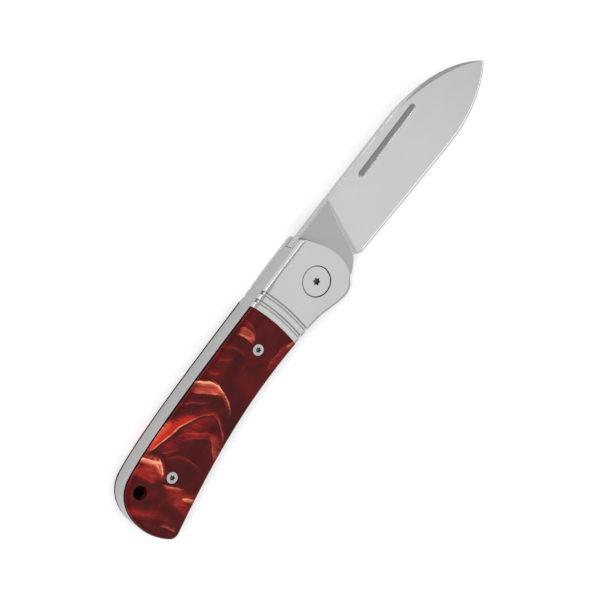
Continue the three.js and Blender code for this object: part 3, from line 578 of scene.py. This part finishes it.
def bladed():
    """The blade as one closed grid. Rows are stations along it: upright lines at the tang that
    lean over to the slanted plunge and stand up again at the tip. Columns go up the right face
    from the edge to the spine and down the left face, which is its mirror image. Half the
    thickness at a point is the flat grind plus the cove of the plunge, no more than the stock,
    less what the swedge, the chamfer of the spine and the nail groove take away."""
    slope = math.degrees(math.atan2(DROP_START[1] - SPINE_AT_STEP, DROP_START[0] - STEP_PLACE))
    drop = curve_through([(*DROP_START, 0, slope, 0, 0.32), (*TIP, -50, -50, 0.36, 0)])
    edge = curve_through([
        (*TIP, 0, 238, 0, 0.06),
        (*BELLY, 180, 180, 0.546, 0.125),
        (*EDGE_HEEL, 176.3, 0, 0.3, 0),
    ])[::-1]

    def on_tang(angles):
        """Points on the circle that the tang's corners turn on."""
        a = np.radians(angles)
        return TANG_CORNER * np.column_stack([np.cos(a), np.sin(a)])

    def arc(a, b, c, steps=8):
        """The curve (1-t)^2 a + 2t(1-t) b + t^2 c."""
        t = np.linspace(0, 1, steps)[:, None]
        a, b, c = np.array(a), np.array(b), np.array(c)
        return (1 - t) ** 2 * a + 2 * t * (1 - t) * b + t ** 2 * c

    flat = math.degrees(math.acos(FLAT_REACH / TANG_CORNER))
    back = on_tang(np.linspace(OPEN_FLAT + flat, HALF_FLAT - flat, 10))
    under = on_tang(np.linspace(HALF_FLAT + flat, CLOSED_FLAT - flat, 10))
    low_line = np.concatenate([
        under, on_tang([CLOSED_FLAT + flat]), [(5.8, -8.0), (6.9, -8.75)],
        arc((6.9, -8.75), (7.7, -9.15), (8.6, -8.8)),         # kick
        arc((8.6, -8.8), (10.4, -8.1), (12.4, -6.35)),
        arc((12.4, -6.35), (12.8, -6.0), (13.15, -6.4)),      # choil
        arc((14.1, -7.52), (14.65, -8.08), EDGE_HEEL), edge[1:],
    ])
    top_line = np.concatenate([
        under[:1], back[::-1],
        [(STEP_PLACE, FLAT_REACH), (STEP_PLACE + 0.0001, SPINE_AT_STEP)], drop,
    ])

    def low_at(x):
        """The height of the lower outline: tang, kick, choil and edge."""
        return np.interp(x, low_line[:, 0], low_line[:, 1])

    def top_at(x):
        """The height of the upper outline: tang, step, spine and drop."""
        return np.interp(x, top_line[:, 0], top_line[:, 1])

    def spine_line(x):
        """The height of the straight spine, carried on past the start of the drop."""
        run = DROP_START[0] - STEP_PLACE
        return SPINE_AT_STEP + (x - STEP_PLACE) * (DROP_START[1] - SPINE_AT_STEP) / run

    def edge_at(x):
        """The height of the cutting edge."""
        return np.interp(x, edge[:, 0], edge[:, 1])

    def spine_half(x):
        """Half the thickness of the spine, which thins evenly from the plunge to the tip."""
        return SPINE_HALF - TIP_LOSS * np.maximum(0, x - TAPER_START) / (TIP[0] - TAPER_START)

    def tilt(line, x):
        """How much longer a width across a sloping line is when measured upright."""
        slope = (line(x + 0.05) - line(x - 0.05)) / 0.1
        return np.sqrt(1 + np.clip(slope, -1.7, 1.7) ** 2)

    def ground(x, y):
        """Half the thickness that the flat grind leaves: straight from the edge bevel's shoulder
        up to the line of the spine, and down the bevel in a steep step and then a gentle one."""
        width = BEVEL_WIDTH * tilt(edge_at, x)
        shoulder = edge_at(x) + width
        up = (y - shoulder) / (spine_line(x) - shoulder)
        face = BEVEL_HALF + (spine_half(x) - BEVEL_HALF) * up
        bevel = np.interp((y - edge_at(x)) / width, [0, BEVEL_TURN[0], 1],
                          [EDGE_HALF, BEVEL_TURN[1], BEVEL_HALF])
        return np.where(y > shoulder, face, bevel)

    def cove_rise(ahead):
        """How far the cove's circle of radius r stands above the grind, r - sqrt(r^2 - (r -
        ahead)^2), which comes to nothing where ahead reaches r."""
        back_off = np.clip(PLUNGE_RADIUS - ahead, 0, PLUNGE_RADIUS - 0.0001)
        return PLUNGE_RADIUS - np.sqrt(PLUNGE_RADIUS ** 2 - back_off ** 2)

    def plunge(y):
        """The slanted line at which the cove starts."""
        return PLUNGE_FOOT + PLUNGE_SLANT * y

    def crease(y):
        """Where the cove leaves the flat of the ricasso."""
        rise = BLADE_HALF - ground(plunge(y) + 2.0, np.maximum(y, -7.5))
        chord = PLUNGE_RADIUS ** 2 - (PLUNGE_RADIUS - rise) ** 2
        return plunge(y) + PLUNGE_RADIUS - np.sqrt(np.maximum(chord, 0))

    def rows_between(start, end):
        """Close rows from one x to another, for a round end of the nail groove, as shares of the
        ground blade. That is some 60 mm long and starts at about 17.5."""
        return (np.linspace(start, end, 20) - 17.5) / 60.0

    # The rows of each zone, as shares of its length
    shares = [
        ("tang", np.linspace(0.004, 1, 22)[:-1]),
        ("step", np.array([0.9999999, 1.0])),
        ("ricasso", np.linspace(0, 1, 60)[1:]),
        ("cove", np.linspace(0, 1, 22)[1:]),
        ("blade", np.unique(np.concatenate([
            np.linspace(0, 1, 150)[1:], 1 - np.linspace(0, 0.28, 60)[:-1] ** 1.6,
            rows_between(30.0, 31.6), rows_between(52.9, 54.6)]))),
    ]
    # The columns of the edge bevel up from the edge, of the nail groove to both sides of its middle
    # line, and of the swedge and the spine's chamfer down from the spine
    foot = np.array([0, 0.11, 0.22, 0.36, 0.5, 0.64, 0.66, 0.8, 1.0])
    slot = np.array([-1.25, -1.1, -1.0, -0.96, -0.91, -0.85, -0.79, -0.73, -0.6, -0.4, -0.2, 0,
                     0.2, 0.4, 0.55, 0.7, 0.82, 0.9, 0.92, 0.95, 1.08, 1.25])
    crown = np.array([1.3, 1.15, 1.0, 0.8, 0.6, 0.45, 0.3, 0.2, 0.1, 0])
    way = np.concatenate([[0], np.cumsum(np.hypot(*np.diff(drop, axis=0).T))])

    def swedge_width(x):
        """It swells and fades along the drop as half a sine wave."""
        t = np.interp(x, drop[:, 0], way / way[-1])
        return np.where((x > DROP_START[0]) & (x < TIP[0]), np.sin(np.pi * t), 0.0)

    def spread(lower, upper, count):
        """Columns at even steps from the last of one group to the first of the next."""
        start, end = lower[..., -1:], upper[..., :1]
        return start + (end - start) * np.linspace(0, 1, count)[1:-1]

    def heights(x):
        """The heights of the columns at x, from the edge to the spine. The groove's columns follow
        its middle line beside it, and elsewhere a line at a share of the blade's height."""
        low, top = low_at(x), top_at(x)
        tall = top - low
        edge_tilt = np.where(x > EDGE_HEEL[0], tilt(edge_at, x), 1.0)
        drop_tilt = np.where(x > DROP_START[0], tilt(top_at, x), 1.0)
        beside = NAIL_BACK[1] - NAIL_FALL * (x - NAIL_BACK[0]) / NAIL_LENGTH
        elsewhere = low + (0.6 + 0.18 * share_of(tall, 8, 16)) * tall
        near = smooth(share_of(x, 24, 28) * share_of(x, 60, 56))
        middle = elsewhere + (beside - elsewhere) * near
        bevel = low + foot * edge_tilt * share_of(tall, 0, 12)
        groove = middle + slot * share_of(tall, 0, 17)
        wide = 1 + (np.maximum(swedge_width(x), 0.3) - 1) * share_of(x, 44, 48)
        swedge = top - crown * wide * drop_tilt * share_of(tall, 0, 6)
        return np.concatenate([bevel, spread(bevel, groove, 26), groove,
                               spread(groove, swedge, 6), swedge], -1)

    def own_heights(x):
        """The height of each column at that column's own x."""
        each = np.arange(len(x))
        return heights(x[:, None])[each, each]

    # The place of a slanted row depends on its heights and they depend on it, so each is worked out
    # from the other, in turns, until both rest
    rows_x, rows_y, zones = [], [], []
    columns = heights(np.array([[40.0]])).shape[-1]
    for zone, places in shares:
        for share in places:
            x = np.full(columns, 20.0)
            for _ in range(30):
                y = own_heights(x)
                if zone in ("tang", "step"):
                    x = np.full(columns, TANG_BACK + (STEP_PLACE - TANG_BACK) * share)
                    if zone == "step" and share == 1.0:
                        x = x + STEP_GAP
                elif zone == "ricasso":
                    start = STEP_PLACE + STEP_GAP
                    x = start + (crease(y) - start) * share
                elif zone == "cove":
                    x = crease(y) + (plunge(y) + PLUNGE_RADIUS - crease(y)) * share
                else:
                    start = plunge(y) + PLUNGE_RADIUS
                    x = start + (LAST_ROW - start) * share
            rows_x.append(x)
            rows_y.append(own_heights(x))
            zones.append(zone)
    x, y = np.array(rows_x), np.array(rows_y)

    beyond_stock = 9.0
    rise = np.where(x < plunge(y), beyond_stock, cove_rise(x - plunge(y)))
    z = np.minimum(ground(x, y) + rise, BLADE_HALF)
    in_swedge = swedge_width(x) - (top_at(x) - y) / tilt(top_at, x)
    z = np.where(in_swedge > 0, z - SWEDGE_SLOPE * in_swedge, z)

    # The spine's chamfer is narrower and steeper towards the drop
    from_top = (top_at(x) - y) / np.where(x > DROP_START[0], tilt(top_at, x), 1)
    further = share_of(x, 30, 44)
    steep, chamfer = 1.1 + 0.1 * further, 0.3 - 0.14 * further
    taken = chamfer * (x > STEP_PLACE)
    z = np.minimum(z, z[:, -1:] + steep * (np.maximum(from_top, 0) - taken))
    z = np.minimum(z, LOW_CHAMFER_HALF + np.maximum(y - low_at(x), 0))

    # The nail groove, with a along it and b across it: a steep upper wall, a floor that lifts a
    # little towards the spine, and a gentle lower wall
    slant = math.atan2(-NAIL_FALL, NAIL_LENGTH)
    dx, dy = x - NAIL_MIDDLE[0], y - NAIL_MIDDLE[1]
    a = dx * math.cos(slant) + dy * math.sin(slant)
    b = dy * math.cos(slant) - dx * math.sin(slant)
    inside = NAIL_HALF - np.hypot(np.maximum(np.abs(a) - NAIL_REACH, 0), b + 0.03)
    nail_floor = NAIL_FLOOR + 0.35 * np.maximum(b - 0.1, 0) ** 2
    wall = 1.55 + 14 * share_of(b, -0.6, 0)
    z = np.where(inside > 0, np.minimum(z, np.maximum(nail_floor, z - wall * inside)), z)
    z = np.maximum(z, EDGE_HALF)

    right = np.stack([x, y, z], -1)
    left = right[:, ::-1] * np.array([1, 1, -1])
    points = np.concatenate([right, left], 1)

    def both_faces(mask):
        """The cells of both faces all of whose corners are in a mask of the right face's points."""
        cells = mask[1:, 1:] & mask[1:, :-1] & mask[:-1, 1:] & mask[:-1, :-1]
        off = np.zeros((len(cells), 1), bool)
        return np.concatenate([cells, off, cells[:, ::-1], off], 1)

    ground_face, ricasso, swedge, groove, bevel, spine = range(6)
    finish = np.full((len(zones) - 1, 2 * columns), ground_face)
    early = np.array([zone in ("tang", "step", "ricasso") for zone in zones])[1:]
    finish[early] = ricasso
    finish[:, columns - 1] = spine
    on_blade = ~early[:, None]
    # the swedge gets the darker steel, as painted shade
    finish[both_faces(in_swedge > -0.01) & on_blade] = swedge
    in_groove = inside > -0.001
    lower_wall = (b < -0.5) & (z > nail_floor - 0.001) & (inside < 0.25)
    # the nail groove gets the dark steel as painted shade, and its gentle lower wall the ground
    # face
    finish[both_faces(in_groove)] = groove
    finish[both_faces(in_groove & lower_wall)] = ground_face
    above_edge = (y - low_at(x)) / np.where(x > EDGE_HEEL[0], tilt(edge_at, x), 1)
    beside_edge = x > EDGE_HEEL[0] - 0.1
    # the edge bevel gets the polished steel with the painted highlight, and its lowest strip the
    # dark steel as a painted dark line standing in for the shade beside the edge
    for high, steel in ((BEVEL_WIDTH, bevel), (BEVEL_WIDTH * BEVEL_TURN[0], groove)):
        finish[both_faces((above_edge < high + 0.005) & beside_edge) & on_blade] = steel
    obj = stacked("blade_ground", points, clockwise=True)
    for material in (ground_steel, ricasso_steel, swedge_painted_shade_steel, painted_shade_steel, edge_steel_painted_highlight,
                     spine_steel):
        obj.data.materials.append(material)
    obj.data.polygons.foreach_set("material_index",
                                  np.append(finish.ravel(), [ricasso, ground_face]))
    return cut(obj, round_tool(PIVOT_HOLE, (0, 0), -3, 3))


# Handle

def joint_side(radius):
    """All that lies behind an arc about the joint's centre, as a flat outline: the arc from below
    to above, and far corners behind the butt."""
    a = np.radians(np.linspace(-24, 24, 161))
    arc = JOINT_CENTRE + radius * np.column_stack([np.cos(a), np.sin(a)])
    return np.concatenate([arc, [(-30, 40), (-100, 40), (-100, -40), (-30, -40)]])


def groove_tool(radius):
    """A bar carried along an arc about the joint's centre. Its underside is half of an ellipse,
    lateral w/2 cos t and depth d sin t. Along the way it stands on the wall, turns with the rim's
    quarter circle, crosses the flat face and goes down the far side in the same way."""
    reach = np.hypot(*(HANDLE - JOINT_CENTRE).T) - radius
    far = np.roll(reach, -1)
    hits = np.flatnonzero((reach * far < 0) & (HANDLE[:, 0] > -40))
    share = (reach / (reach - far))[hits][:, None]
    where = HANDLE[hits] + (np.roll(HANDLE, -1, 0)[hits] - HANDLE[hits]) * share - JOINT_CENTRE
    low, high = np.sort(np.arctan2(where[:, 1], where[:, 0]))
    turn = np.linspace(0, np.pi / 2, 14)
    inset = RIM * (1 - np.cos(turn)) / radius
    centre_z = OUTER_FACE - RIM
    top = np.linspace(low + RIM / radius, high - RIM / radius, 40)[1:-1]
    flat = np.ones(len(top))
    angle = np.concatenate([[low], low + inset, top, (high - inset)[::-1], [high]])
    z = np.concatenate([[LINER_FACE - 1], centre_z + RIM * np.sin(turn), OUTER_FACE * flat,
                        (centre_z + RIM * np.sin(turn))[::-1], [LINER_FACE - 1]])
    up = np.concatenate([[0], np.sin(turn), flat, np.sin(turn)[::-1], [0]])
    side = np.concatenate([[-1], -np.cos(turn), 0 * flat, np.cos(turn)[::-1], [1]])
    t = np.linspace(np.pi, 0, 17)
    lateral = np.concatenate([GROOVE_WIDTH / 2 * np.cos(t), [GROOVE_WIDTH / 2, -GROOVE_WIDTH / 2]])
    depth = np.concatenate([-GROOVE_DEPTH * np.sin(t), [1.0, 1.0]])
    around = angle[:, None] + side[:, None] * depth[None] / radius
    reach = radius + lateral[None]
    points = np.stack([JOINT_CENTRE[0] + reach * np.cos(around),
                       JOINT_CENTRE[1] + reach * np.sin(around),
                       z[:, None] + up[:, None] * depth[None]], -1)
    return stacked("groove", points, clockwise=True)


def bolster():
    """The handle's outer cover in front of the joint, with its two grooves and its holes."""
    body = rim_slab("bolster", HANDLE, LINER_FACE, OUTER_FACE)
    tools = [prism("joint", joint_side(JOINT_RADIUS), 0, ABOVE_ALL)]
    tools += [groove_tool(radius) for radius in GROOVES]
    radius, thick = PIVOT_HEAD
    tools += [round_tool(radius + PIVOT_FIT, (0, 0), HEAD_TOP - thick, ABOVE_ALL, 128),
              round_tool(PIVOT_HOLE, (0, 0), 0, ABOVE_ALL)]
    tools += [round_tool(BOLSTER_PIN_RADIUS, pin, 0, BOLSTER_PIN_END, 32) for pin in BOLSTER_PINS]
    return cut(body, *tools)


def scale():
    """The handle's outer cover behind the joint, with its screw wells and the lanyard hole. The
    foot of its outer wall has painted shade, and the walls of the joint, the wells and the hole
    don't."""
    body = rim_slab("scale", HANDLE, LINER_FACE, OUTER_FACE)
    behind = prism("joint", joint_side(JOINT_RADIUS - JOINT_GAP), 0, ABOVE_ALL)
    cut(body, behind, keep_inside=True)
    tools = [round_tool(LANYARD_RADIUS, LANYARD, 0, ABOVE_ALL)]
    radius, thick = SCREW_HEAD
    for centre in SCREWS.values():
        tools.append(round_tool(radius + SCREW_FIT, centre, HEAD_TOP - thick, ABOVE_ALL, 64))
        tools.append(round_tool(SCREW_HOLE, centre, 0, ABOVE_ALL, 48))
    cut(body, *tools)
    x, y, z = middles_of(body).T
    outer = np.hypot(x - JOINT_CENTRE[0], y - JOINT_CENTRE[1]) < JOINT_RADIUS - 0.3
    outer &= np.hypot(x - LANYARD[0], y - LANYARD[1]) > LANYARD_RADIUS + 0.1
    for cx, cy in SCREWS.values():
        outer &= np.hypot(x - cx, y - cy) > radius + SCREW_FIT + 0.1
    # painted shade: the faces of the outer wall's foot, next to the liner
    foot = outer & (z < LINER_FACE + PAINTED_SHADE_FOOT)
    body.data.materials.append(marbled_resin)
    body.data.materials.append(painted_shade_foot)
    body.data.polygons.foreach_set("material_index", foot.astype(int))
    return body


def six_lobes(radius, centre, low):
    """A driver recess: its wall is at radius (0.86 + 0.14 cos 6a)."""
    a = np.linspace(0, 2 * np.pi, 120, endpoint=False)
    reach = radius * (0.86 + 0.14 * np.cos(6 * a))
    outline = np.array(centre) + np.column_stack([reach * np.cos(a), reach * np.sin(a)])
    return prism("recess", outline, low, ABOVE_ALL)


def soft_edge(radius, soft=0.16):
    """A small head's edge: at angle a it is soft (1 - cos a) in and soft (1 - sin a) down."""
    a = np.linspace(0, np.pi / 2, 8)
    return [(radius - soft + soft * math.cos(t), HEAD_TOP - soft + soft * math.sin(t)) for t in a]


def chamfered_edge(radius):
    """The pivot head's edge: a flat chamfer with its two corners just broken."""
    return [(radius, HEAD_TOP - 0.34), (radius - 0.02, HEAD_TOP - 0.31),
            (radius - 0.23, HEAD_TOP - 0.03), (radius - 0.28, HEAD_TOP)]


def headed(name, centre, head, edge, sides, steel, shank, foot, recess, depth):
    """A shank with a low round head and a driver recess, whose inside is painted near black as
    shade.
    """
    radius, thick = head
    profile = [(shank, foot), (shank, HEAD_TOP - thick), (radius, HEAD_TOP - thick)]
    body = turned(name, profile + edge(radius), centre, sides)
    cut(body, six_lobes(recess, centre, HEAD_TOP - depth))
    # painted shade: the faces inside the recess get the near black steel
    x, y, z = middles_of(body).T
    deep = np.hypot(x - centre[0], y - centre[1]) < recess * 1.02
    deep &= (z < HEAD_TOP - 0.01) & (z > HEAD_TOP - depth - 0.01)
    body.data.materials.append(steel)
    body.data.materials.append(recess_painted_shade)
    body.data.polygons.foreach_set("material_index", deep.astype(int))
    return body


finished(bladed(), "blade", angle=12, weld=0.00002)
for side in ("right", "left"):
    away = side == "left"
    finished(bolster(), "bolster_" + side, bolster_steel, left=away)
    finished(scale(), "scale_" + side, left=away)
    for name, centre in SCREWS.items():
        screw = headed("screw", centre, SCREW_HEAD, soft_edge, 72, screw_steel, shank=0.95,
                       foot=1.92, recess=0.8, depth=0.6)
        finished(screw, "scale_screw_%s_%s" % (name, side), left=away)
for node, shank, foot in (("pivot_barrel", 2.4, -3.69), ("pivot_screw", 1.45, 3.75)):
    pivot = headed(node, (0, 0), PIVOT_HEAD, chamfered_edge, 128, head_steel, shank=shank,
                   foot=foot, recess=1.05, depth=0.8)
    finished(pivot, node, left=node == "pivot_screw")


def smooth_by_angle(degrees):
    """A modifier's node tree that joins loose triangles and shades their faces smooth, except at
    edges that turn by more than an angle."""
    tree = bpy.data.node_groups.new("smooth_walls", "GeometryNodeTree")
    tree.interface.new_socket("Geometry", in_out="INPUT", socket_type="NodeSocketGeometry")
    tree.interface.new_socket("Geometry", in_out="OUTPUT", socket_type="NodeSocketGeometry")
    start, end = tree.nodes.new("NodeGroupInput"), tree.nodes.new("NodeGroupOutput")
    join = tree.nodes.new("GeometryNodeMergeByDistance")
    join.inputs["Distance"].default_value = JOIN_WITHIN
    faces = tree.nodes.new("GeometryNodeSetShadeSmooth")
    angle = tree.nodes.new("GeometryNodeInputMeshEdgeAngle")
    sharp = tree.nodes.new("FunctionNodeCompare")
    sharp.operation = "GREATER_THAN"
    sharp.inputs[1].default_value = math.radians(degrees)
    edges = tree.nodes.new("GeometryNodeSetShadeSmooth")
    edges.domain = "EDGE"
    edges.inputs["Shade Smooth"].default_value = False
    link = tree.links.new
    link(start.outputs[0], join.inputs["Geometry"])
    link(join.outputs[0], faces.inputs["Geometry"])
    link(angle.outputs["Unsigned Angle"], sharp.inputs[0])
    link(faces.outputs[0], edges.inputs["Geometry"])
    link(sharp.outputs[0], edges.inputs["Selection"])
    link(edges.outputs[0], end.inputs[0])
    return tree


# The CAD solids that stay: the frame, the spring, the pins and the washers
kept_finish = {"frame_steel": frame_steel, "pin_steel": screw_steel, "bronze": bronze}
smooth_walls = smooth_by_angle(25)
for name, obj in nodes.items():
    finish = kept_finish.get(slot_of[name])
    if finish and not name.startswith("scale_screw"):
        obj.data.materials.clear()
        obj.data.materials.append(finish)
        obj.modifiers.new("smooth_walls", "NODES").node_group = smooth_walls


# Floor, lamps and world

def floor():
    """A pale matt table top. What the camera sees, and what steel mirrors of it, is lifted to
    white, and the shadows on it stay."""
    m = Nodes("white_table")
    light = m.new("ShaderNodeLightPath").outputs
    seen = m.math("MAXIMUM", light["Is Camera Ray"],
                  m.math("MAXIMUM", light["Is Glossy Ray"], light["Is Transmission Ray"]))
    diffuse = m.new("ShaderNodeBsdfDiffuse")
    diffuse.inputs["Color"].default_value = grey(0.8)
    glow = m.new("ShaderNodeEmission")
    glow.inputs["Color"].default_value = grey(1.0)
    m.set(glow.inputs["Strength"], m.math("MULTIPLY", seen, 0.28))
    both = m.new("ShaderNodeAddShader")
    m.set(both.inputs[0], diffuse.outputs[0])
    m.set(both.inputs[1], glow.outputs[0])
    m.set(m.out.inputs["Surface"], both.outputs[0])
    half = 2.0
    table = object_of("table_top", [(-half, -half, 0), (half, -half, 0), (half, half, 0),
                                    (-half, half, 0)], [(0, 1, 2, 3)])
    table.data.materials.append(m.material)


def lamp(name, place, size, power):
    """A soft rectangular lamp that is aimed at the knife."""
    data = bpy.data.lights.new(name, "AREA")
    data.shape = "RECTANGLE"
    data.size, data.size_y = size
    data.energy = power
    obj = bpy.data.objects.new(name, data)
    bpy.context.scene.collection.objects.link(obj)
    obj.location = place
    obj.rotation_euler = (-Vector(place)).to_track_quat("-Z", "Y").to_euler()
    return obj


floor()
world = bpy.data.worlds.new("studio")
bpy.context.scene.world = world
world.use_nodes = True
world.node_tree.nodes["Background"].inputs["Color"].default_value = grey(1.0)
world.node_tree.nodes["Background"].inputs["Strength"].default_value = 0.66
lamp("soft_box_above", (0.01, -0.46, 0.88), (0.94, 0.85), 1.25)
lamp("soft_box_at_tip", (0.85, -0.42, 0.4), (0.45, 0.4), 0.65)
lamp("soft_box_at_corner", (0.7, 0.45, 0.5), (0.7, 0.7), 0.6)
lamp("low_back_lamp", (0.1, 0.9, 0.12), (1.2, 0.12), 2.1)
# It lights the matt faces alone: no steel mirrors it
matt_light = lamp("matt_light", (-0.18, 0.59, 0.91), (0.7, 0.23), 4.8)
matt_light.visible_glossy = False
